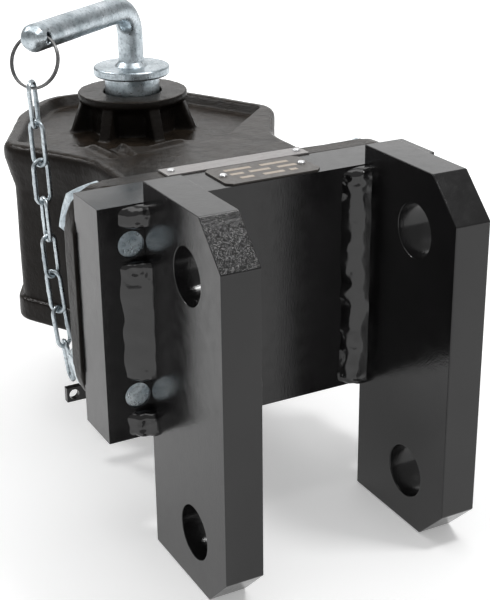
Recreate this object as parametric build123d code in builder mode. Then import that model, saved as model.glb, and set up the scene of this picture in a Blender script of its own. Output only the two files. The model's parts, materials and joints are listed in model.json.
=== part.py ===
"""Trailer coupler: a cast towing jaw with a drop pin, bolted to a welded twin-lug bracket.

All lengths are millimetres. The origin is the middle of the upper lug bore, +Y points to the towed
eye, +Z is up and the bracket is symmetrical about x = 0.
"""
from build123d import *
from math import cos, pi, radians, sin, sqrt, tan
import os

os.makedirs("parts", exist_ok=True)

# Clevis lugs
lug_gap = 103.5
lug_thickness = 20.0
lug_depth = 80.0
lug_height = 197.0
lug_bore = 28.0
bore_to_plate = 46.0
bore_below_top = 32.5
bore_above_bottom = 30.0
lug_top_chamfer = 20.5
lug_bottom_chamfer = 19.0

# Mounting plate
plate_width = 191.0
plate_height = 123.5
plate_thickness = 30.0
plate_below_lug_top = 10.5

# Flange bolts
bolt_diameter = 20.0
bolt_across_flats = 30.0
bolt_head_height = 12.5
bolt_face_diameter = 28.5
head_chamfer_angle = 30.0
bolt_from_plate_side = 16.5
bolt_below_plate_top = 20.0
bolt_above_plate_bottom = 23.5
bolt_point_diameter = 13.3
bolt_point_length = 6.0
bolt_point_recess = 1.2
thread_clearance = 0.05
flange_hole_diameter = 22.0
head_turns = [-13.6, 17.0, 34.0, 8.0]

# Weld beads between the lugs and the plate
weld_leg_plate = 13.0
weld_leg_lug = 7.5
weld_end = 0.5
weld_bolt_gap = 16.0

# Jaw casting
flange_thickness = 12.0
flange_overhang = 1.5
flange_upper_radius = 21.0
flange_lower_radius = 27.0
neck_width = 114.0
neck_length = 74.0
neck_blend_radius = 45.0
jaw_width = 178.0
jaw_corner_radius = 18.0
jaw_nose_radius = 30.0
pin_to_plate = 177.0
shoulder_before_pin = 16.0
back_width = 116.0
back_after_pin = 46.0
nose_width = 60.0
nose_after_pin = 78.0
rim_above_bore = 13.0
rim_edge_radius = 5.0
rim_depth = 9.0
flare_depth = 18.0
wall_set_in = 4.5
lip_set_in = 2.0
lip_thickness = 14.0
lip_edge_radius = 2.5
jaw_height = 109.0
mouth_height = 74.0
throat_radius = 58.0
cheek_thickness = 8.0
cheek_before_pin = 14.0
rim_strip = 8.0
pocket_depth = 6.0
pocket_slope = 4.5
pocket_front = 64.0
pocket_front_width = 62.0

# Ribbed boss over the jaw
boss_height = 23.0
boss_disc_diameter = 65.5
boss_disc_thickness = 4.0
boss_core_diameter = 52.0
boss_bore = 34.6
rib_count = 7
rib_thickness = 7.0
rib_foot_radius = 38.5
boss_sink = 1.5

# Tow pin
pin_diameter = 32.6
spigot_diameter = 26.0
spigot_below_jaw = 5.0
collar_diameter = 45.4
collar_thickness = 5.3
collar_gap = 9.8
collar_edge = 0.8
pin_end_chamfer = 3.0
running_clearance = 0.05

# Lower wear bush
bush_diameter = 40.0
bush_flange_diameter = 54.0
bush_flange_thickness = 3.0

# Bent handle
handle_diameter = 15.0
handle_rise = 35.0
handle_reach = 107.0
handle_bend_radius = 17.0
handle_angle = 217.0
handle_end_chamfer = 2.5
handle_hole_diameter = 6.0
handle_hole_from_end = 10.2
handle_weld_width = 2.5

# Split ring and chain
ring_wire = 2.5
ring_outer_diameter = 30.0
ring_tilt = 20.0
ring_lift = 1.1
link_wire = 2.5
link_inner_length = 22.0
link_width = 11.0
link_play = 0.3
link_leans = [
    (2.9, 0.3),
    (2.2, 0.6),
    (1.9, 0.5),
    (2.4, 0.0),
    (3.1, -0.6),
    (4.4, -1.3),
    (5.8, -2.1),
    (6.7, -2.5),
]
link_turns = [130.0, 60.0, -8.0, 92.0, -18.0, 50.0, -18.0, -88.0]

# Chain anchor under the jaw's lip
anchor_thickness = 4.0
anchor_arm = 9.0
anchor_hole = 6.0
anchor_gap = 0.5

# Plates riveted on the mounting plate
type_plate_length = 54.0
type_plate_width = 28.0
type_plate_corner = 3.0
strip_length = 82.0
strip_width = 11.5
thin_plate_thickness = 0.8
type_plate_from_rear = 1.5
type_plate_shift = 1.0
strip_from_seam = 0.4
strip_shift = -4.0
rivet_from_end = 4.5
rivet_diameter = 2.4
rivet_head_diameter = 4.2
rivet_head_height = 1.2
rivet_head_edge = 0.95
rivet_length = 3.0
rivet_clearance = 0.05

# Places that follow from the sizes
lug_inner = lug_gap / 2
lug_outer = lug_inner + lug_thickness
lug_top = bore_below_top
bore_spacing = lug_height - bore_below_top - bore_above_bottom
plate_rear = bore_to_plate
plate_front = plate_rear + plate_thickness
plate_top = lug_top - plate_below_lug_top
plate_bottom = plate_top - plate_height
plate_mid_z = (plate_top + plate_bottom) / 2
flange_front = plate_front + flange_thickness
bolt_upper_z = plate_top - bolt_below_plate_top
bolt_lower_z = plate_bottom + bolt_above_plate_bottom
bolt_x = plate_width / 2 - bolt_from_plate_side
pin_y = plate_rear + pin_to_plate
rim_top = rim_above_bore
jaw_bottom = rim_top - jaw_height
lip_top = jaw_bottom + lip_thickness
mouth_roof = lip_top + mouth_height
pocket_floor = rim_top - pocket_depth
boss_top = pocket_floor + boss_height
collar_bottom = boss_top + collar_gap
collar_top = collar_bottom + collar_thickness
handle_z = collar_top + handle_rise
bush_top = lip_top + bush_flange_thickness
bolt_places = [(side * bolt_x, z) for side in (-1, 1) for z in (bolt_upper_z, bolt_lower_z)]

# Places of the two name plates and their rivets: one on the plate's top, the strip on the flange's
type_plate_place = (type_plate_shift, plate_rear + type_plate_from_rear + type_plate_width / 2)
strip_place = (strip_shift, plate_front + strip_from_seam + strip_width / 2)
type_plate_rivets = [
    (type_plate_place[0] + side * (type_plate_length / 2 - rivet_from_end), type_plate_place[1])
    for side in (-1, 1)
]
strip_rivets = [
    (strip_place[0] + side * (strip_length / 2 - rivet_from_end), strip_place[1]) for side in (-1, 1)
]

# Lugs
with BuildPart() as lug_right:
    with BuildSketch(Plane.YZ.offset(lug_inner)) as lug_side:
        with Locations((plate_rear - lug_depth / 2, lug_top - lug_height / 2)):
            Rectangle(lug_depth, lug_height)
        free_corners = lug_side.vertices().group_by(Axis.X)[0].sort_by(Axis.Y)
        chamfer(free_corners[0], lug_bottom_chamfer)
        chamfer(free_corners[1], lug_top_chamfer)
        with Locations((0, 0), (0, -bore_spacing)):
            Circle(lug_bore / 2, mode=Mode.SUBTRACT)
    extrude(amount=lug_thickness)
lug_right.part.label = "lug_right"
export_step(lug_right.part, "parts/lug_right.step")

with BuildPart() as lug_left:
    mirror(lug_right.part, about=Plane.YZ)
lug_left.part.label = "lug_left"
export_step(lug_left.part, "parts/lug_left.step")

# Mounting plate, tapped from the jaw's side, with a small pilot hole right through
with BuildPart() as mounting_plate:
    with BuildSketch(Plane.XZ.offset(-plate_rear)):
        with Locations((0, plate_mid_z)):
            Rectangle(plate_width, plate_height)
    extrude(amount=-plate_thickness)
    with BuildSketch(Plane.XZ.offset(-plate_rear)):
        with Locations(bolt_places):
            Circle(bolt_point_diameter / 2 + thread_clearance)
    extrude(amount=-plate_thickness, mode=Mode.SUBTRACT)
    with BuildSketch(Plane.XZ.offset(-plate_front)):
        with Locations(bolt_places):
            Circle(bolt_diameter / 2 + thread_clearance)
    extrude(amount=plate_thickness - bolt_point_length, mode=Mode.SUBTRACT)
    with BuildSketch(Plane.XY.offset(plate_top)):
        with Locations(type_plate_rivets):
            Circle(rivet_diameter / 2 + rivet_clearance)
    extrude(amount=-rivet_length - rivet_clearance, mode=Mode.SUBTRACT)
mounting_plate.part.label = "mounting_plate"
export_step(mounting_plate.part, "parts/mounting_plate.step")

# One bolt: its head rests on y = 0 and its shank and dog point run towards -Y
chamfer_drop = (bolt_across_flats - bolt_face_diameter / 2) * tan(radians(head_chamfer_angle))
bolt_reach = flange_thickness + plate_thickness
with BuildPart() as bolt:
    with BuildSketch(Plane.XZ):
        RegularPolygon(bolt_across_flats / 2, 6, major_radius=False)
    extrude(amount=-bolt_head_height)
    with BuildSketch(Plane.XY):
        with BuildLine():
            Polyline(
                (0, 0),
                (bolt_across_flats, 0),
                (bolt_across_flats, bolt_head_height - chamfer_drop),
                (bolt_face_diameter / 2, bolt_head_height),
                (0, bolt_head_height),
                close=True,
            )
        make_face()
    revolve(axis=Axis.Y, mode=Mode.INTERSECT)
    with BuildSketch(Plane.XZ):
        Circle(bolt_diameter / 2)
    extrude(amount=bolt_reach - bolt_point_length)
    with BuildSketch(Plane.XZ.offset(bolt_reach - bolt_point_length)):
        Circle(bolt_point_diameter / 2)
    extrude(amount=bolt_point_length - bolt_point_recess)

# Bolts, screwed into the plate from the jaw's side
with BuildPart() as flange_bolts:
    for (place_x, place_z), head_turn in zip(bolt_places, head_turns):
        with Locations(Location((place_x, flange_front, place_z), (0, head_turn, 0))):
            add(bolt.part)
flange_bolts.part.label = "flange_bolts"
export_step(flange_bolts.part, "parts/flange_bolts.step")


def weld_bead(side, corner_x, low, high):
    """Bead of triangular section in the corner between a lug's face and the plate, from low to high."""
    with BuildPart() as bead:
        with BuildSketch(Plane.XY.offset(low)):
            with BuildLine():
                Polyline(
                    (corner_x, plate_rear),
                    (corner_x + side * weld_leg_plate, plate_rear),
                    (corner_x, plate_rear - weld_leg_lug),
                    close=True,
                )
            make_face()
        extrude(amount=high - low)
    return bead.part


# Welds: the outer beads stop on both sides of each bolt point, the inner ones run the full height
outer_spans = {
    "top": (bolt_upper_z + weld_bolt_gap / 2, plate_top - weld_end),
    "middle": (bolt_lower_z + weld_bolt_gap / 2, bolt_upper_z - weld_bolt_gap / 2),
    "bottom": (plate_bottom + weld_end, bolt_lower_z - weld_bolt_gap / 2),
}
for side, hand in ((-1, "left"), (1, "right")):
    for place, (low, high) in outer_spans.items():
        bead = weld_bead(side, side * lug_outer, low, high)
        bead.label = f"weld_{hand}_{place}"
        export_step(bead, f"parts/weld_{hand}_{place}.step")
    bead = weld_bead(-side, side * lug_inner, plate_bottom + weld_end, plate_top - weld_end)
    bead.label = f"weld_{hand}_inner"
    export_step(bead, f"parts/weld_{hand}_inner.step")


def jaw_outline(inset):
    """Plan outline of the jaw at the rim, drawn in by an inset and begun inside the plate."""
    shoulder_y = pin_y - shoulder_before_pin
    right_side = [
        (neck_width / 2, plate_rear),
        (neck_width / 2, plate_front + neck_length),
        (jaw_width / 2, shoulder_y),
        (back_width / 2, pin_y + back_after_pin),
        (nose_width / 2, pin_y + nose_after_pin),
    ]
    left_side = [(-x, y) for x, y in reversed(right_side)]
    with BuildSketch() as outline:
        with BuildLine():
            Polyline(*right_side, *left_side, close=True)
        make_face()
        for row, radius in (
            (plate_front + neck_length, neck_blend_radius),
            (shoulder_y, jaw_corner_radius),
            (pin_y + back_after_pin, jaw_nose_radius),
            (pin_y + nose_after_pin, jaw_nose_radius),
        ):
            fillet([v for v in outline.vertices() if abs(v.Y - row) < 0.01], radius)
        if inset:
            offset(amount=-inset)
    return outline.sketch


def pocket_outline(inset):
    """Outline of the shallow pocket round the boss: the rim's, cut off in front by a blunt wedge."""
    with BuildSketch() as wedge:
        with BuildLine():
            Polyline(
                (-pocket_front_width / 2, pin_y - pocket_front + inset),
                (pocket_front_width / 2, pin_y - pocket_front + inset),
                (pocket_front_width / 2 + pocket_front, pin_y + inset),
                (pocket_front_width / 2 + pocket_front, pin_y + 2 * pocket_front),
                (-pocket_front_width / 2 - pocket_front, pin_y + 2 * pocket_front),
                (-pocket_front_width / 2 - pocket_front, pin_y + inset),
                close=True,
            )
        make_face()
        add(jaw_outline(rim_strip + inset), mode=Mode.INTERSECT)
    return wedge.sketch


# Jaw casting: flange, neck, cheeks, upper and lower tongue, pocket and ribbed boss
pin_axis = Axis((0, pin_y, 0), (0, 0, 1))
pin_section = Plane(origin=(0, pin_y, 0), x_dir=(1, 0, 0), z_dir=(0, -1, 0))
rim_outline = jaw_outline(0)
wall_outline = jaw_outline(wall_set_in)
lip_outline = jaw_outline(lip_set_in)
pocket_top_outline = pocket_outline(0)
pocket_floor_outline = pocket_outline(pocket_slope)
with BuildPart() as jaw_casting:
    with BuildSketch(Plane.XY.offset(rim_top - rim_depth - flare_depth)):
        add(wall_outline)
    with BuildSketch(Plane.XY.offset(rim_top - rim_depth)):
        add(rim_outline)
    loft(ruled=True)
    with BuildSketch(Plane.XY.offset(rim_top - rim_depth)):
        add(rim_outline)
    extrude(amount=rim_depth)
    fillet(jaw_casting.faces().sort_by(Axis.Z)[-1].edges(), rim_edge_radius)
    with BuildSketch(Plane.XY.offset(lip_top)):
        add(wall_outline)
    extrude(amount=rim_top - rim_depth - flare_depth - lip_top)
    with BuildSketch(Plane.XY.offset(jaw_bottom)):
        add(lip_outline)
    extrude(amount=lip_thickness)
    fillet(jaw_casting.faces().sort_by(Axis.Z)[0].edges(), lip_edge_radius)
    split(bisect_by=Plane.XZ.offset(-plate_front), keep=Keep.BOTTOM)
    with BuildSketch(Plane.XY.offset(lip_top)):
        with Locations((0, pin_y)):
            Circle(throat_radius)
        with BuildLine():
            Polyline(
                (-throat_radius + cheek_thickness, pin_y - shoulder_before_pin * 2),
                (throat_radius - cheek_thickness, pin_y - shoulder_before_pin * 2),
                (jaw_width / 2 - wall_set_in - cheek_thickness, pin_y - cheek_before_pin),
                (jaw_width, pin_y - cheek_before_pin),
                (jaw_width, pin_y + 2 * nose_after_pin),
                (-jaw_width, pin_y + 2 * nose_after_pin),
                (-jaw_width, pin_y - cheek_before_pin),
                (-jaw_width / 2 + wall_set_in + cheek_thickness, pin_y - cheek_before_pin),
                close=True,
            )
        make_face()
    extrude(amount=mouth_height, mode=Mode.SUBTRACT)
    with BuildSketch(Plane.XY.offset(pocket_floor)):
        add(pocket_floor_outline)
    with BuildSketch(Plane.XY.offset(rim_top)):
        add(pocket_top_outline)
    loft(ruled=True, mode=Mode.SUBTRACT)
    with BuildSketch(pin_section):
        with BuildLine():
            Polyline(
                (0, pocket_floor - boss_sink),
                (boss_core_diameter / 2, pocket_floor - boss_sink),
                (boss_core_diameter / 2, boss_top - 2 * boss_disc_thickness),
                (boss_disc_diameter / 2, boss_top - boss_disc_thickness),
                (boss_disc_diameter / 2, boss_top),
                (0, boss_top),
                close=True,
            )
        make_face()
    revolve(axis=pin_axis)
    for rib in range(rib_count):
        turn = 2 * pi * rib / rib_count - pi / 2
        rib_plane = Plane(
            origin=(0, pin_y, 0), x_dir=(cos(turn), sin(turn), 0), z_dir=(sin(turn), -cos(turn), 0)
        )
        with BuildSketch(rib_plane):
            with BuildLine():
                Polyline(
                    (boss_core_diameter / 2 - boss_sink, pocket_floor - boss_sink),
                    (rib_foot_radius, pocket_floor - boss_sink),
                    (rib_foot_radius, pocket_floor),
                    (boss_disc_diameter / 2 - boss_sink, boss_top - boss_disc_thickness),
                    (boss_core_diameter / 2 - boss_sink, boss_top - boss_disc_thickness),
                    close=True,
                )
            make_face()
        extrude(amount=rib_thickness / 2, both=True)
    with BuildSketch(Plane.XY.offset(mouth_roof)):
        with Locations((0, pin_y)):
            Circle(boss_bore / 2)
    extrude(amount=boss_top - mouth_roof, mode=Mode.SUBTRACT)
    with BuildSketch(Plane.XY.offset(jaw_bottom)):
        with Locations((0, pin_y)):
            Circle(bush_diameter / 2 + running_clearance)
    extrude(amount=lip_thickness, mode=Mode.SUBTRACT)
    with BuildSketch(Plane.XZ.offset(-plate_front)) as flange_outline:
        with Locations((0, plate_mid_z)):
            Rectangle(plate_width + 2 * flange_overhang, plate_height)
        fillet(flange_outline.vertices().group_by(Axis.Y)[0], flange_lower_radius)
        fillet(flange_outline.vertices().group_by(Axis.Y)[-1], flange_upper_radius)
    extrude(amount=-flange_thickness)
    with BuildSketch(Plane.XZ.offset(-plate_front)):
        with Locations(bolt_places):
            Circle(flange_hole_diameter / 2)
    extrude(amount=-flange_thickness, mode=Mode.SUBTRACT)
    with BuildSketch(Plane.XY.offset(plate_top)):
        with Locations(strip_rivets):
            Circle(rivet_diameter / 2 + rivet_clearance)
    extrude(amount=-rivet_length - rivet_clearance, mode=Mode.SUBTRACT)
jaw_casting.part.label = "jaw_casting"
export_step(jaw_casting.part, "parts/jaw_casting.step")

# Lower wear bush: its collar rests on the lower tongue and it turns with the pin
with BuildPart() as lower_bush:
    with BuildSketch(pin_section):
        with BuildLine():
            Polyline(
                (spigot_diameter / 2 + running_clearance, jaw_bottom),
                (bush_diameter / 2, jaw_bottom),
                (bush_diameter / 2, lip_top),
                (bush_flange_diameter / 2, lip_top),
                (bush_flange_diameter / 2, bush_top),
                (spigot_diameter / 2 + running_clearance, bush_top),
                close=True,
            )
        make_face()
    revolve(axis=pin_axis)
lower_bush.part.label = "lower_bush"
export_step(lower_bush.part, "parts/lower_bush.step")

# Tow pin: collar, shank and a stepped lower spigot
with BuildPart() as tow_pin:
    with BuildSketch(pin_section):
        with BuildLine():
            Polyline(
                (0, jaw_bottom - spigot_below_jaw),
                (spigot_diameter / 2 - pin_end_chamfer, jaw_bottom - spigot_below_jaw),
                (spigot_diameter / 2, jaw_bottom - spigot_below_jaw + pin_end_chamfer),
                (spigot_diameter / 2, bush_top),
                (pin_diameter / 2, bush_top),
                (pin_diameter / 2, collar_bottom),
                (collar_diameter / 2 - collar_edge, collar_bottom),
                (collar_diameter / 2, collar_bottom + collar_edge),
                (collar_diameter / 2, collar_top - collar_edge),
                (collar_diameter / 2 - collar_edge, collar_top),
                (0, collar_top),
                close=True,
            )
        make_face()
    revolve(axis=pin_axis)
tow_pin.part.label = "tow_pin"
export_step(tow_pin.part, "parts/tow_pin.step")

# Handle: a round bar bent over the collar, with a cross hole for the split ring
arm_direction = Vector(cos(radians(handle_angle)), sin(radians(handle_angle)), 0)
up = Vector(0, 0, 1)
hole_direction = arm_direction.cross(up)
handle_plane = Plane(origin=(0, pin_y, 0), x_dir=arm_direction, z_dir=hole_direction)
handle_hole_reach = handle_reach - handle_hole_from_end
with BuildPart() as pin_handle:
    with BuildLine(handle_plane) as handle_path:
        FilletPolyline(
            (0, collar_top), (0, handle_z), (handle_reach, handle_z), radius=handle_bend_radius
        )
    with BuildSketch(Plane.XY.offset(collar_top)):
        with Locations((0, pin_y)):
            Circle(handle_diameter / 2)
    sweep()
    arm_end = pin_handle.faces().sort_by(Axis((0, 0, 0), arm_direction))[-1]
    chamfer(arm_end.edges(), handle_end_chamfer)
    with BuildSketch(handle_plane.offset(-handle_diameter)):
        with Locations((handle_hole_reach, handle_z)):
            Circle(handle_hole_diameter / 2)
    extrude(amount=2 * handle_diameter, mode=Mode.SUBTRACT)
pin_handle.part.label = "pin_handle"
export_step(pin_handle.part, "parts/pin_handle.step")

# Weld ring at the foot of the handle
with BuildPart() as handle_weld:
    with BuildSketch(pin_section):
        with BuildLine():
            Polyline(
                (handle_diameter / 2, collar_top),
                (handle_diameter / 2 + handle_weld_width, collar_top),
                (handle_diameter / 2, collar_top + handle_weld_width),
                close=True,
            )
        make_face()
    revolve(axis=pin_axis)
handle_weld.part.label = "handle_weld"
export_step(handle_weld.part, "parts/handle_weld.step")

# Split ring, hung in the cross hole and tilted towards the free end of the handle
ring_radius = (ring_outer_diameter - ring_wire) / 2
ring_hang = arm_direction * sin(radians(ring_tilt)) - up * cos(radians(ring_tilt))
hole_centre = Vector(0, pin_y, handle_z) + arm_direction * handle_hole_reach
ring_centre = hole_centre + ring_hang * (ring_radius - ring_lift)
ring_plane = Plane(origin=ring_centre, x_dir=hole_direction, z_dir=hole_direction.cross(ring_hang))
with BuildPart(ring_plane) as split_ring:
    Torus(ring_radius, ring_wire / 2)
split_ring.part.label = "split_ring"
export_step(split_ring.part, "parts/split_ring.step")

# Chain: each link hangs in the one above, along its own lean and turned about its own length
link_bend = (link_width - link_wire) / 2
link_length = link_inner_length + link_wire
link_straight = link_length - 2 * link_bend
hook_gap = link_wire + link_play
chain_pivots = [ring_centre + ring_hang * ring_radius]


def link_axes(lean, turn):
    """Unit vectors along and across a link, from its leans towards +X and +Y and its turn."""
    lean_x = sin(radians(lean[0]))
    lean_y = sin(radians(lean[1]))
    along = Vector(lean_x, lean_y, -sqrt(1 - lean_x**2 - lean_y**2))
    level = (Vector(1, 0, 0) - along * lean_x).normalized()
    across = level * cos(radians(turn)) + along.cross(level) * sin(radians(turn))
    return along, across


for number, (lean, turn) in enumerate(zip(link_leans, link_turns), start=1):
    along, across = link_axes(lean, turn)
    link_centre = chain_pivots[-1] + along * (link_length / 2 - hook_gap)
    link_plane = Plane(origin=link_centre, x_dir=across, z_dir=across.cross(along))
    with BuildPart() as chain_link:
        with BuildLine(link_plane) as link_path:
            right_leg = Line((link_bend, -link_straight / 2), (link_bend, link_straight / 2))
            left_leg = Line((-link_bend, link_straight / 2), (-link_bend, -link_straight / 2))
            ThreePointArc(right_leg @ 1, (0, link_length / 2), left_leg @ 0)
            ThreePointArc(left_leg @ 1, (0, -link_length / 2), right_leg @ 0)
        with BuildSketch(Plane(origin=right_leg @ 0, z_dir=right_leg % 0)):
            Circle(link_wire / 2)
        sweep(path=link_path.wires()[0])
    chain_link.part.label = f"chain_link_{number}"
    export_step(chain_link.part, f"parts/chain_link_{number}.step")
    chain_pivots.append(chain_pivots[-1] + along * (link_length - hook_gap))

# Chain anchor: a tab under the jaw's lip that reaches out below the last link
chain_end = chain_pivots[-1]
anchor_top = chain_end.Z - hook_gap - link_wire / 2 - anchor_gap
with BuildPart() as chain_anchor:
    with BuildSketch(Plane.XZ.offset(-chain_end.Y - anchor_thickness / 2)):
        with BuildLine():
            Polyline(
                (chain_end.X + 2 * anchor_arm, jaw_bottom),
                (chain_end.X + 3 * anchor_arm, jaw_bottom),
                (chain_end.X + 3 * anchor_arm, anchor_top - anchor_arm),
                (chain_end.X - anchor_arm / 2, anchor_top - anchor_arm),
                (chain_end.X - anchor_arm / 2, anchor_top),
                (chain_end.X + 2 * anchor_arm, anchor_top),
                close=True,
            )
        make_face()
        with Locations((chain_end.X, anchor_top - anchor_arm / 2)):
            Circle(anchor_hole / 2, mode=Mode.SUBTRACT)
    extrude(amount=anchor_thickness)
chain_anchor.part.label = "chain_anchor"
export_step(chain_anchor.part, "parts/chain_anchor.step")

# Name plates and their rivets
with BuildPart() as type_plate:
    with BuildSketch(Plane.XY.offset(plate_top)) as type_plate_outline:
        with Locations(type_plate_place):
            Rectangle(type_plate_length, type_plate_width)
        chamfer(type_plate_outline.vertices(), type_plate_corner)
        with Locations(type_plate_rivets):
            Circle(rivet_diameter / 2 + rivet_clearance, mode=Mode.SUBTRACT)
    extrude(amount=thin_plate_thickness)
type_plate.part.label = "type_plate"
export_step(type_plate.part, "parts/type_plate.step")

with BuildPart() as strip_plate:
    with BuildSketch(Plane.XY.offset(plate_top)):
        with Locations(strip_place):
            Rectangle(strip_length, strip_width)
        with Locations(strip_rivets):
            Circle(rivet_diameter / 2 + rivet_clearance, mode=Mode.SUBTRACT)
    extrude(amount=thin_plate_thickness)
strip_plate.part.label = "strip_plate"
export_step(strip_plate.part, "parts/strip_plate.step")

with BuildPart() as plate_rivets:
    with BuildSketch(Plane.XY.offset(plate_top + thin_plate_thickness)):
        with Locations(type_plate_rivets + strip_rivets):
            Circle(rivet_head_diameter / 2)
    extrude(amount=rivet_head_height)
    head_rims = plate_rivets.faces().group_by(Axis.Z)[-1].edges()
    fillet(head_rims, rivet_head_edge)
    with BuildSketch(Plane.XY.offset(plate_top + thin_plate_thickness)):
        with Locations(type_plate_rivets + strip_rivets):
            Circle(rivet_diameter / 2)
    extrude(amount=-thin_plate_thickness - rivet_length)
plate_rivets.part.label = "plate_rivets"
export_step(plate_rivets.part, "parts/plate_rivets.step")
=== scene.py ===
"""Looks of the trailer coupler: finishes, weld beads, cast surfaces, wire pieces, light and camera."""
import json
import math

import bmesh
import bpy
import numpy
from mathutils import Matrix, Vector, noise


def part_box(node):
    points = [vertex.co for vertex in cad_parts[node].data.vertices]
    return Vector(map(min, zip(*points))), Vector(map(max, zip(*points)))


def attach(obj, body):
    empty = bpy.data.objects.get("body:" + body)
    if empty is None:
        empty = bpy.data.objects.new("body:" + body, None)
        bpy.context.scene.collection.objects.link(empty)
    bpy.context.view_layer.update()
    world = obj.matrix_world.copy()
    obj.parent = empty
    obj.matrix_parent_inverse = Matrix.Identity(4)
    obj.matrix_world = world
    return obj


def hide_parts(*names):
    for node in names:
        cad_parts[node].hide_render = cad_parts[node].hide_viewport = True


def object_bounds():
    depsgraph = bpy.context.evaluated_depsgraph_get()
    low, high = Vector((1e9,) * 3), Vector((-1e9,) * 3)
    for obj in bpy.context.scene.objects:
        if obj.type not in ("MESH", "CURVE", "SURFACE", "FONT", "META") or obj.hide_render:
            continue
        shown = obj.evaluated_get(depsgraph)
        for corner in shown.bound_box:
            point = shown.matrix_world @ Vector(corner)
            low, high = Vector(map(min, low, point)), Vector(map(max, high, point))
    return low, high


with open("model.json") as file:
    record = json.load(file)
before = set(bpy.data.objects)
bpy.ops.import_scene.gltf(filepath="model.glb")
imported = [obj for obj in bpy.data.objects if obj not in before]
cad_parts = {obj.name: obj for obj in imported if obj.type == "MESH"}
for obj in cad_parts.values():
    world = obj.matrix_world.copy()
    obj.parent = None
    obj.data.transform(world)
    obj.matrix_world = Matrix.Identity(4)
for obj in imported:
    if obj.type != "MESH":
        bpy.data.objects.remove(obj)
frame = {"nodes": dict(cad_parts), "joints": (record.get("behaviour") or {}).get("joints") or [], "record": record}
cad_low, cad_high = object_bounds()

MM = 0.001
nodes = frame["nodes"]
node_body = {
    node: body for body, members in frame["record"]["behaviour"]["bodies"].items() for node in members
}
node_slot = {row["node"]: row["material_slot"] for row in frame["record"]["subparts"]}
joints = {joint["name"]: joint for joint in frame["joints"]}

# Camera, solved from the photograph's straight edges
FRAME_WIDTH = 490
FRAME_HEIGHT = 600
CAMERA_AZIMUTH = -27.780
CAMERA_ELEVATION = 22.378
CAMERA_ROLL = -0.654
CAMERA_DISTANCE = 675.35 * MM
CAMERA_TARGET = Vector((-16.865, 46.1, -35.8)) * MM
FOCAL_PIXELS = 1332.95
CENTRE_PIXEL = (247.02, 293.47)
SENSOR = 36.0


def add_camera():
    data = bpy.data.cameras.new("camera")
    data.sensor_width = SENSOR
    data.lens = FOCAL_PIXELS / FRAME_HEIGHT * SENSOR
    data.shift_x = (FRAME_WIDTH / 2 - CENTRE_PIXEL[0]) / FRAME_HEIGHT
    data.shift_y = (CENTRE_PIXEL[1] - FRAME_HEIGHT / 2) / FRAME_HEIGHT
    data.clip_start = 0.01
    data.clip_end = 20.0
    camera = bpy.data.objects.new("camera", data)
    azimuth = math.radians(CAMERA_AZIMUTH)
    elevation = math.radians(CAMERA_ELEVATION)
    back = Vector(
        (
            math.sin(azimuth) * math.cos(elevation),
            -math.cos(azimuth) * math.cos(elevation),
            math.sin(elevation),
        )
    )
    turn = (-back).to_track_quat("-Z", "Y").to_matrix().to_4x4()
    roll = Matrix.Rotation(math.radians(CAMERA_ROLL), 4, "Z")
    camera.matrix_world = Matrix.Translation(CAMERA_TARGET + back * CAMERA_DISTANCE) @ turn @ roll
    bpy.context.scene.collection.objects.link(camera)
    bpy.context.scene.camera = camera


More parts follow.
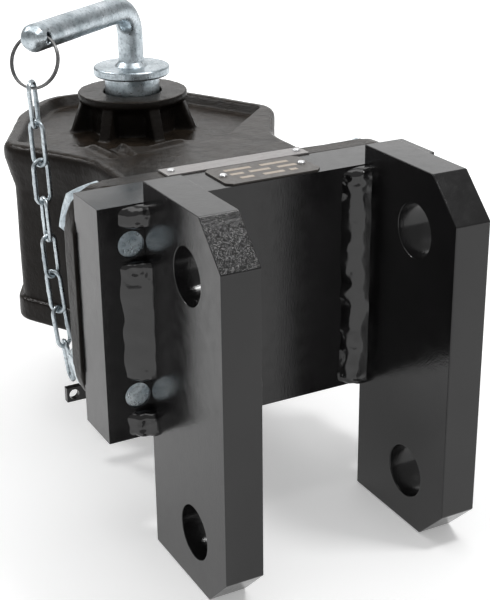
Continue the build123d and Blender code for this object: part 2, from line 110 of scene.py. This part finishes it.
# Material helpers
class Nodes:
    """Short ways to add and link the nodes of one material."""

    def __init__(self, name):
        self.material = bpy.data.materials.new(name)
        self.material.use_nodes = True
        self.tree = self.material.node_tree
        self.shader = self.tree.nodes["Principled BSDF"]
        self.place = self.add("ShaderNodeTexCoord").outputs["Object"]

    def add(self, kind, **inputs):
        node = self.tree.nodes.new(kind)
        for key, value in inputs.items():
            self.set(node, key, value)
        return node

    def set(self, node, key, value):
        socket = node.inputs[key.replace("_", " ")]
        if isinstance(value, bpy.types.NodeSocket):
            self.tree.links.new(value, socket)
        else:
            socket.default_value = value

    def noise(self, scale, detail=4.0, roughness=0.55, vector=None):
        node = self.add("ShaderNodeTexNoise", Scale=scale, Detail=detail, Roughness=roughness)
        self.tree.links.new(vector or self.place, node.inputs["Vector"])
        return node.outputs["Fac"]

    def voronoi(self, scale):
        node = self.add("ShaderNodeTexVoronoi", Scale=scale)
        self.tree.links.new(self.place, node.inputs["Vector"])
        return node.outputs["Distance"]

    def scaled(self, scale):
        """Object coordinates multiplied by a scale along each axis."""
        node = self.add("ShaderNodeVectorMath")
        node.operation = "MULTIPLY"
        self.tree.links.new(self.place, node.inputs[0])
        node.inputs[1].default_value = scale
        return node.outputs["Vector"]

    def attribute(self, name):
        """Number painted on a piece's mesh; pieces without it read 0."""
        node = self.add("ShaderNodeAttribute")
        node.attribute_name = name
        return node.outputs["Fac"]

    def up_facing(self):
        """1 on faces that look up, 0 on walls and undersides."""
        shape = self.add("ShaderNodeNewGeometry")
        split = self.add("ShaderNodeSeparateXYZ")
        self.tree.links.new(shape.outputs["Normal"], split.inputs[0])
        return self.ramp(split.outputs["Z"], [(0.5, 0.0), (0.9, 1.0)])

    def ramp(self, value, stops):
        """Colour ramp; stops are (position, colour or grey value)."""
        node = self.add("ShaderNodeValToRGB")
        self.tree.links.new(value, node.inputs["Fac"])
        elements = node.color_ramp.elements
        while len(elements) < len(stops):
            elements.new(0.5)
        for element, (position, colour) in zip(elements, stops):
            element.position = position
            if isinstance(colour, (int, float)):
                colour = (colour, colour, colour)
            element.color = (*colour, 1.0)
        return node.outputs["Color"]

    def math(self, operation, first, second):
        node = self.add("ShaderNodeMath")
        node.operation = operation
        for index, value in enumerate((first, second)):
            if isinstance(value, bpy.types.NodeSocket):
                self.tree.links.new(value, node.inputs[index])
            else:
                node.inputs[index].default_value = value
        return node.outputs["Value"]

    def mix(self, factor, first, second):
        node = self.add("ShaderNodeMix")
        node.data_type = "RGBA"
        for index, value in ((0, factor), (6, first), (7, second)):
            socket = node.inputs[index]
            if isinstance(value, bpy.types.NodeSocket):
                self.tree.links.new(value, socket)
            elif index:
                socket.default_value = (*value, 1.0)
            else:
                socket.default_value = value
        return node.outputs[2]

    def bump(self, height, strength, distance, normal=None):
        node = self.add("ShaderNodeBump", Height=height, Strength=strength, Distance=distance)
        if normal:
            self.tree.links.new(normal, node.inputs["Normal"])
        return node.outputs["Normal"]

    def link(self, value, socket):
        self.tree.links.new(value, self.shader.inputs[socket])

    def use(self, **values):
        for key, value in values.items():
            self.set(self.shader, key, value)
        return self.material


def paint_look(name, low, high, roughness, peel, wave, specular):
    """Black paint: orange peel, long flow waves and pale specks; marked faces show the streaks of a cut."""
    n = Nodes(name)
    flow = n.noise(55.0, 3.0)
    colour = n.mix(flow, low, high)
    specks = n.ramp(n.voronoi(240.0), [(0.0, 1.0), (0.03, 0.0)])
    colour = n.mix(n.math("MULTIPLY", specks, 0.5), colour, (0.16, 0.15, 0.15))
    n.link(colour, "Base Color")
    n.link(n.ramp(n.noise(170.0, 5.0), [(0.3, roughness[0]), (0.7, roughness[1])]), "Roughness")
    fine = n.bump(n.noise(1000.0, 2.0), 1.0, peel)
    soft = n.bump(flow, 1.0, wave, fine)
    streaks = n.noise(1.0, 3.0, 0.6, n.scaled((900.0, 260.0, 260.0)))
    cut = n.math("MULTIPLY", streaks, n.attribute("cut"))
    n.link(n.bump(cut, 1.0, 0.0008, soft), "Normal")
    return n.use(Specular_IOR_Level=specular)


def cast_black():
    """Sand casting under black paint: lumpy and glossy on top, with painted light: a lighter brown sheen in
    patches on the faces that look up.
    """
    n = Nodes("cast_black")
    large = n.noise(42.0, 4.0)
    colour = n.mix(large, (0.004, 0.0035, 0.003), (0.013, 0.010, 0.008))
    level = n.up_facing()
    # Painted sheen: faces that look up get a lighter brown in noisy patches, standing in for the light they catch
    painted_top_sheen = n.math("MULTIPLY", n.ramp(n.noise(120.0, 6.0, 0.65), [(0.35, 0.15), (0.65, 0.9)]), level)
    colour = n.mix(painted_top_sheen, colour, (0.024, 0.018, 0.013))
    n.link(colour, "Base Color")
    gloss = n.ramp(n.noise(110.0, 5.0), [(0.3, 0.13), (0.7, 0.26)])
    n.link(n.mix(level, (0.38, 0.38, 0.38), gloss), "Roughness")
    fine = n.bump(n.noise(900.0, 3.0), 1.0, 0.00016)
    grain = n.bump(n.noise(300.0, 5.0, 0.6), 1.0, 0.00035, fine)
    n.link(n.bump(large, 1.0, 0.0007, grain), "Normal")
    return n.use(Specular_IOR_Level=0.11)


def zinc(name, low, high, grain):
    """Bright zinc plating: bluish grey, clouded and finely mottled, with dark pores."""
    n = Nodes(name)
    cloud = n.noise(75.0, 5.0)
    mottle = n.noise(620.0, 4.0, 0.65)
    colour = n.mix(n.ramp(cloud, [(0.3, 0.0), (0.7, 1.0)]), low, high)
    colour = n.mix(n.ramp(mottle, [(0.36, 0.55), (0.5, 0.0)]), colour, (0.16, 0.19, 0.21))
    pores = n.ramp(n.voronoi(150.0), [(0.0, 1.0), (0.05, 0.0)])
    colour = n.mix(pores, colour, (0.03, 0.03, 0.03))
    n.link(colour, "Base Color")
    n.link(n.ramp(n.noise(260.0, 6.0), [(0.3, 0.22), (0.7, 0.46)]), "Roughness")
    fine = n.bump(n.noise(1100.0, 3.0), 1.0, grain)
    n.link(n.bump(cloud, 1.0, 0.00012, fine), "Normal")
    return n.use(Metallic=1.0)


def plain_metal(name, low, high, roughness, metallic):
    """Lightly brushed metal."""
    n = Nodes(name)
    brushed = n.noise(1.0, 4.0, 0.6, n.scaled((60.0, 900.0, 900.0)))
    n.link(n.mix(brushed, low, high), "Base Color")
    n.link(n.ramp(n.noise(400.0), [(0.3, roughness), (0.7, roughness + 0.16)]), "Roughness")
    n.link(n.bump(brushed, 1.0, 0.00004), "Normal")
    return n.use(Metallic=metallic)


def printed_plate():
    """Dark plate; the marked faces of its raised fields are paler."""
    n = Nodes("dark_plate")
    wear = n.noise(420.0, 4.0)
    ground = n.mix(wear, (0.045, 0.040, 0.036), (0.11, 0.10, 0.09))
    colour = n.mix(n.attribute("print"), ground, (0.36, 0.30, 0.24))
    n.link(colour, "Base Color")
    n.link(n.ramp(wear, [(0.3, 0.3), (0.7, 0.5)]), "Roughness")
    n.link(n.bump(wear, 1.0, 0.00004), "Normal")
    return n.use(Metallic=0.15)


materials = {
    "black_paint": paint_look(
        "black_paint",
        (0.004, 0.004, 0.004),
        (0.010, 0.0095, 0.010),
        roughness=(0.13, 0.23),
        peel=0.00006,
        wave=0.00008,
        specular=0.46,
    ),
    "weld_paint": paint_look(
        "weld_paint",
        (0.003, 0.003, 0.003),
        (0.008, 0.0075, 0.008),
        roughness=(0.08, 0.17),
        peel=0.00003,
        wave=0.00015,
        specular=0.62,
    ),
    "cast_black": cast_black(),
    "zinc": zinc("zinc", (0.31, 0.365, 0.395), (0.68, 0.74, 0.78), grain=0.00013),
    "zinc_rough": zinc("zinc_rough", (0.22, 0.29, 0.34), (0.86, 0.93, 0.96), grain=0.00020),
    "zinc_wire": zinc("zinc_wire", (0.34, 0.39, 0.42), (0.66, 0.72, 0.75), grain=0.00008),
    "ring_steel": plain_metal(
        "ring_steel", (0.10, 0.10, 0.10), (0.30, 0.30, 0.30), roughness=0.25, metallic=1.0
    ),
    "bush_steel": plain_metal(
        "bush_steel", (0.20, 0.19, 0.18), (0.42, 0.41, 0.40), roughness=0.32, metallic=1.0
    ),
    "dark_plate": printed_plate(),
    "pale_metal": plain_metal(
        "pale_metal", (0.24, 0.23, 0.225), (0.40, 0.385, 0.38), roughness=0.40, metallic=0.35
    ),
    "rivet_metal": plain_metal(
        "rivet_metal", (0.62, 0.62, 0.64), (0.9, 0.9, 0.9), roughness=0.2, metallic=0.9
    ),
}


def finish_node(obj, slot):
    obj.data.materials.clear()
    obj.data.materials.append(materials[slot])


for name, obj in nodes.items():
    finish_node(obj, node_slot[name])


# Pieces
def add_piece(name, mesh, replaced):
    """New piece that stands for the named CAD nodes and rides on their body."""
    piece = bpy.data.objects.new(name, mesh)
    bpy.context.scene.collection.objects.link(piece)
    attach(piece, node_body[replaced[0]])
    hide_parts(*replaced)
    slot = node_slot[replaced[0]]
    finish_node(piece, slot)
    return piece


def smooth_by_angle(bm, degrees):
    """Smooth shading, sharp over an angle."""
    for face in bm.faces:
        face.smooth = True
    for edge in bm.edges:
        edge.smooth = len(edge.link_faces) == 2 and edge.calc_face_angle(0) < math.radians(degrees)


def apply_modifiers(obj):
    graph = bpy.context.evaluated_depsgraph_get()
    obj.data = bpy.data.meshes.new_from_object(obj.evaluated_get(graph), depsgraph=graph)
    obj.modifiers.clear()


def welded_copy(node):
    """Copy of a node's mesh with its corners merged, so that it can be bevelled or remeshed."""
    mesh = nodes[node].data.copy()
    bm = bmesh.new()
    bm.from_mesh(mesh)
    bmesh.ops.remove_doubles(bm, verts=bm.verts, dist=0.005 * MM)
    bmesh.ops.dissolve_limit(bm, angle_limit=math.radians(0.5), verts=bm.verts, edges=bm.edges)
    bm.to_mesh(mesh)
    bm.free()
    if "custom_normal" in mesh.attributes:
        mesh.attributes.remove(mesh.attributes["custom_normal"])
    return mesh


def eased(node, width):
    """Plate piece with slightly rounded edges."""
    piece = add_piece(f"{node}_eased", welded_copy(node), [node])
    bevel = piece.modifiers.new("edge", "BEVEL")
    bevel.width = width
    bevel.segments = 3
    bevel.limit_method = "ANGLE"
    bevel.angle_limit = math.radians(35)
    bevel.use_clamp_overlap = True
    apply_modifiers(piece)
    bm = bmesh.new()
    bm.from_mesh(piece.data)
    smooth_by_angle(bm, 40)
    bm.to_mesh(piece.data)
    bm.free()
    flat = piece.modifiers.new("flat", "WEIGHTED_NORMAL")
    flat.keep_sharp = True
    apply_modifiers(piece)
    return piece


def near_line(x, y, line):
    """Distance in mm from a point to a line of points, seen from above."""
    best = 1e9
    for (ax, ay), (bx, by) in zip(line, line[1:]):
        dx, dy = bx - ax, by - ay
        part = max(0.0, min(1.0, ((x - ax) * dx + (y - ay) * dy) / (dx * dx + dy * dy)))
        best = min(best, math.hypot(x - ax - dx * part, y - ay - dy * part))
    return best


def cast_piece(node, voxel, passes, lump, ridges=()):
    """Casting: remeshed, its edges worn round, with a slightly uneven skin and ridges on its top faces."""
    coarse = 45.0
    fine = 140.0
    ridge_width = 2.6
    ridge_height = 2.2
    piece = add_piece(f"{node}_cast", welded_copy(node), [node])
    remesh = piece.modifiers.new("skin", "REMESH")
    remesh.mode = "VOXEL"
    remesh.voxel_size = voxel
    smooth = piece.modifiers.new("worn", "SMOOTH")
    smooth.factor = 0.5
    smooth.iterations = passes
    apply_modifiers(piece)
    bm = bmesh.new()
    bm.from_mesh(piece.data)
    bm.normal_update()
    for vert in bm.verts:
        wave = noise.noise(vert.co * coarse) + 0.5 * noise.noise(vert.co * fine)
        rise = wave * lump
        if ridges and vert.normal.z > 0.5 and vert.co.z > 0:
            for line in ridges:
                far = near_line(vert.co.x / MM, vert.co.y / MM, line) / ridge_width
                if far < 3:
                    rise += math.exp(-far * far) * ridge_height * MM
        vert.co += vert.normal * rise
    for face in bm.faces:
        face.smooth = True
    bm.to_mesh(piece.data)
    bm.free()
    return piece


def domed_end(piece):
    """Rounds the free end of the handle into a dome."""
    reach = 10 * MM
    dome = 8.6 * MM
    widest = 0.9
    pivot = Vector(joints["tow_pin_turn"]["pos_m"])
    hole = Vector(joints["ring_swing"]["pos_m"])
    along = Vector((hole.x - pivot.x, hole.y - pivot.y, 0)).normalized()
    points = piece.data.vertices
    end = max(vert.co.dot(along) for vert in points)
    bar = [vert for vert in points if end - vert.co.dot(along) < reach]
    middle = sum((vert.co for vert in bar), Vector()) / len(bar)
    for vert in bar:
        depth = end - vert.co.dot(along)
        across = vert.co - middle
        radius = min((across - along * across.dot(along)).length, dome * widest)
        drop = dome - math.sqrt(dome * dome - radius * radius)
        vert.co -= along * drop * max(0.0, 1 - depth / reach)


def weld_bead(node):
    """Wide smooth bead between a lug and the plate, its toes wavy and its ends lumpy."""
    inner = "inner" in node
    columns = 26
    rows_per_mm = 2
    round_end = 4.0 * MM
    end_share = 0.38
    body_lumps = 0.10
    lump_size = 4.4 * MM
    lump_height = 1.9 * MM
    lump_run = 13 * MM
    short_bead = 25 * MM
    lean_x = 0.5
    lean_y = 0.86
    fullness = 1.6 if inner else 1.0
    flatness = 1.0 if inner else 0.7
    sunk = 0.5 * MM
    low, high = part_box(node)
    side = 1 if "right" in node else -1
    if inner:
        side = -side
    corner_x = low.x if side > 0 else high.x
    leg_x = high.x - low.x
    leg_y = high.y - low.y
    length = high.z - low.z
    rows = max(20, round(length / MM * rows_per_mm))
    lump_reach = lump_run if length > short_bead else length
    offset = Vector((corner_x * 400, 5.0 * side, len(node)))
    bm = bmesh.new()
    grid = []
    for i in range(rows + 1):
        z = low.z + length * i / rows
        from_end = min(z - low.z, high.z - z)
        reach = min(1.0, from_end / round_end)
        end = math.sqrt(max(0.0, 1 - (1 - reach) ** 2)) * (1 - end_share) + end_share
        from_lumps = min(high.z - z, (z - low.z) * 1.6)
        lumpy = body_lumps + (1 - body_lumps) * max(0.0, 1 - from_lumps / lump_reach)
        toe = 1 + 0.16 * noise.noise(offset + Vector((0, 0, z / (10 * MM))))
        lug_toe = 1 + 0.12 * noise.noise(offset + Vector((9, 0, z / (12 * MM))))
        row = []
        for j in range(columns + 1):
            across = j / columns
            x = leg_x * end * toe * (1 - across)
            y = leg_y * end * lug_toe * across
            swell = math.sin(math.pi * across) ** flatness
            place = offset + Vector((x, y, z)) / lump_size
            lump = 1.3 * noise.noise(place)
            out = (fullness + 0.5 * noise.noise(place * 0.5)) * MM + lump * lumpy * lump_height
            x += out * swell * end * lean_x
            y += out * swell * end * lean_y
            row.append(bm.verts.new((corner_x + side * x, high.y - y, z)))
        row.append(bm.verts.new((corner_x - side * sunk, high.y + sunk, z)))
        grid.append(row)
    count = len(grid[0])
    for lower, upper in zip(grid, grid[1:]):
        for j in range(count):
            k = (j + 1) % count
            bm.faces.new((lower[j], lower[k], upper[k], upper[j]))
    bm.faces.new(grid[0])
    bm.faces.new(grid[-1])
    bmesh.ops.recalc_face_normals(bm, faces=bm.faces)
    smooth_by_angle(bm, 50)
    mesh = bpy.data.meshes.new(f"{node}_bead")
    bm.to_mesh(mesh)
    bm.free()
    piece = add_piece(f"{node}_bead", mesh, [node])
    finish_node(piece, "weld_paint")


def marked(mesh, name, chosen):
    """Number on each face, 1 where the test holds, for a material to read."""
    layer = mesh.attributes.new(name, "FLOAT", "FACE")
    for polygon in mesh.polygons:
        layer.data[polygon.index].value = 1.0 if chosen(polygon) else 0.0


def own_axes(node):
    """Centre, unit axes (longest first) and lengths of a piece, from its own vertices."""
    points = numpy.array([vert.co for vert in nodes[node].data.vertices])
    axes = numpy.linalg.svd(points - points.mean(0), full_matrices=False)[2]
    spans = [(points @ axis).max() - (points @ axis).min() for axis in axes]
    centre = sum(axis * ((points @ axis).max() + (points @ axis).min()) / 2 for axis in axes)
    return Vector(centre), [Vector(axis) for axis in axes], spans


def swept_wire(name, route, radii, closed, sides=16):
    """Mesh tube of a round wire along a list of points."""
    curve = bpy.data.curves.new(name, "CURVE")
    curve.dimensions = "3D"
    curve.bevel_depth = 1.0
    curve.bevel_resolution = sides // 2 - 2
    curve.use_fill_caps = not closed
    spline = curve.splines.new("POLY")
    spline.points.add(len(route) - 1)
    for point, place, radius in zip(spline.points, route, radii):
        point.co = (*place, 1.0)
        point.radius = radius
    spline.use_cyclic_u = closed
    holder = bpy.data.objects.new(name, curve)
    bpy.context.scene.collection.objects.link(holder)
    graph = bpy.context.evaluated_depsgraph_get()
    mesh = bpy.data.meshes.new_from_object(holder.evaluated_get(graph), depsgraph=graph)
    bpy.data.objects.remove(holder)
    for polygon in mesh.polygons:
        polygon.use_smooth = True
    return mesh


def chain_link(node, weld_side):
    """Bent wire link with the small butt weld half way up one leg."""
    half_leg = 6
    bend_steps = 16
    weld_bulge = 0.20
    weld_steps = 1.6
    centre, (along, across, _), (length, width, wire) = own_axes(node)
    bend = (width - wire) / 2
    straight = (length - width) / 2
    route = []
    radii = []
    for side in (1, -1):
        for step in range(2 * half_leg + 1):
            rise = straight * (step / half_leg - 1) * side
            route.append(centre + across * bend * side + along * rise)
            near = max(0.0, 1 - abs(step - half_leg) / weld_steps) if side == weld_side else 0.0
            radii.append(wire / 2 * (1 + weld_bulge * near))
        for step in range(1, bend_steps):
            angle = math.pi * step / bend_steps
            route.append(
                centre
                + across * bend * side * math.cos(angle)
                + along * side * (straight + bend * math.sin(angle))
            )
            radii.append(wire / 2)
    mesh = swept_wire(f"{node}_wire", route, radii, True)
    add_piece(f"{node}_wire", mesh, [node])


def coiled_ring(node):
    """Split ring of two flat turns of thin wire lying against each other."""
    wire = 0.68 * MM
    turns = 2
    steps = 144
    # Where the wire steps over to its second turn, and for how long, in turns
    step_over = 0.88
    step_length = 0.24
    first_angle = 0.9
    spacing = 0.95
    centre, (first, second, axis), (outer, _, _) = own_axes(node)
    radius = outer / 2 - wire
    route = []
    for step in range(steps + 1):
        turn = step / steps * turns
        lift = min(1.0, max(0.0, (turn - step_over) / step_length)) * 2 - 1
        angle = 2 * math.pi * turn + first_angle
        route.append(
            centre
            + first * radius * math.cos(angle)
            + second * radius * math.sin(angle)
            + axis * lift * wire * spacing
        )
    mesh = swept_wire(f"{node}_coil", route, [wire] * len(route), False, 12)
    piece = add_piece(f"{node}_coil", mesh, [node])
    finish_node(piece, "ring_steel")


def printed(node):
    """Type plate with rows of blank raised fields."""
    # The start and end of every field, row by row, as shares of the plate's width
    rows = (
        ((0.20, 0.34), (0.44, 0.66), (0.72, 0.80)),
        ((0.16, 0.30), (0.36, 0.58), (0.66, 0.86)),
        ((0.16, 0.44), (0.54, 0.84)),
    )
    first_row = 0.20
    row_step = 0.25
    row_depth = 0.11
    rise = 0.04 * MM
    foot = 0.2 * MM
    mesh = welded_copy(node)
    low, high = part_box(node)
    width = high.x - low.x
    depth = high.y - low.y
    bm = bmesh.new()
    bm.from_mesh(mesh)
    fields = []
    for row, spans in enumerate(rows):
        near = low.y + depth * (first_row + row_step * row)
        for start, end in spans:
            fields.append((low.x + width * start, low.x + width * end, near, near + depth * row_depth))
    top = high.z + rise
    for left, right, near, far in fields:
        size = Vector((right - left, far - near, top - low.z - foot))
        middle = Vector(((left + right) / 2, (near + far) / 2, top - size.z / 2))
        for vert in bmesh.ops.create_cube(bm, size=1.0)["verts"]:
            vert.co = middle + vert.co * size
    bm.to_mesh(mesh)
    bm.free()
    marked(mesh, "print", lambda polygon: polygon.center.z > high.z + rise / 2)
    add_piece(f"{node}_printed", mesh, [node])


def upper_rear_chamfer(polygon):
    return polygon.normal.y < -0.6 and polygon.normal.z > 0.6 and polygon.area > 1e-4


# Rounding of the edges in mm
EDGES = {
    "mounting_plate": 0.7,
    "lug_left": 0.7,
    "lug_right": 0.7,
    "flange_bolts": 0.5,
    "tow_pin": 0.4,
    "chain_anchor": 0.3,
    "strip_plate": 0.1,
    "lower_bush": 0.3,
}
for node, width in EDGES.items():
    piece = eased(node, width * MM)
    if node == "lug_left":
        marked(piece.data, "cut", upper_rear_chamfer)
    elif node == "flange_bolts":
        finish_node(piece, "zinc_rough")
# Every third link has its weld on the other leg
for node in nodes:
    if node.startswith("weld_"):
        weld_bead(node)
    elif node.startswith("chain_link_"):
        chain_link(node, 1 if int(node[-1]) % 3 else -1)
coiled_ring("split_ring")
printed("type_plate")
# Low ridges on the jaw's top, as lines of points in mm seen from above
RIDGES = (
    ((-47.6, 197.5), (-45.7, 173.1), (-43.6, 152.0)),
    ((-37.1, 186.7), (-34.3, 159.8), (-33.0, 152.0)),
    ((-34.3, 159.8), (-20.9, 154.3), (1.0, 159.9), (14.0, 168.0)),
)
cast_piece("jaw_casting", voxel=1.0 * MM, passes=3, lump=0.25 * MM, ridges=RIDGES)
domed_end(cast_piece("pin_handle", voxel=0.7 * MM, passes=8, lump=0.06 * MM))


# Floor, light and surroundings
def add_floor():
    """Pale floor just under the object; its glow grows with distance from the middle."""
    half = 6.0
    z = cad_low.z - 0.5 * MM
    corners = [(-half, -half, z), (half, -half, z), (half, half, z), (-half, half, z)]
    mesh = bpy.data.meshes.new("floor")
    mesh.from_pydata(corners, [], [(0, 1, 2, 3)])
    floor = bpy.data.objects.new("floor", mesh)
    n = Nodes("floor")
    n.link(n.mix(n.noise(3.0), (0.93, 0.93, 0.93), (0.95, 0.95, 0.95)), "Base Color")
    reach = n.add("ShaderNodeVectorMath")
    reach.operation = "LENGTH"
    n.tree.links.new(n.place, reach.inputs[0])
    glow = n.ramp(n.math("MULTIPLY", reach.outputs["Value"], 0.5), [(0.2, 0.30), (0.6, 0.75)])
    n.link(glow, "Emission Color")
    mesh.materials.append(n.use(Roughness=0.9, Specular_IOR_Level=0.1, Emission_Strength=1.0))
    bpy.context.scene.collection.objects.link(floor)


def add_light(name, place, aim, size, power):
    data = bpy.data.lights.new(name, "AREA")
    data.shape = "RECTANGLE"
    data.size, data.size_y = size
    data.energy = power
    light = bpy.data.objects.new(name, data)
    place = Vector(place)
    light.location = place
    light.rotation_euler = (Vector(aim) - place).to_track_quat("-Z", "Y").to_euler()
    bpy.context.scene.collection.objects.link(light)


def add_world():
    world = bpy.data.worlds.new("studio")
    bpy.context.scene.world = world
    world.use_nodes = True
    world.node_tree.nodes["Background"].inputs["Color"].default_value = (1.0, 1.0, 1.0, 1.0)
    world.node_tree.nodes["Background"].inputs["Strength"].default_value = 0.40


add_floor()
add_world()
add_light("light_top", (0.0, 0.2, 0.95), (0.0, 0.1, -0.1), size=(0.9, 0.7), power=3.2)
add_light("light_key", (0.33, -0.24, 0.86), (0.0, 0.0, 0.0), size=(0.16, 0.16), power=3.5)
add_light("light_left", (-0.50, 0.75, 0.85), (0.0, 0.2, 0.0), size=(0.15, 0.15), power=4.0)
add_light("light_back", (0.74, 1.41, 0.70), (0.0, 0.1, 0.0), size=(1.6, 1.1), power=4.7)
add_camera()
bpy.context.scene.view_settings.view_transform = "Standard"
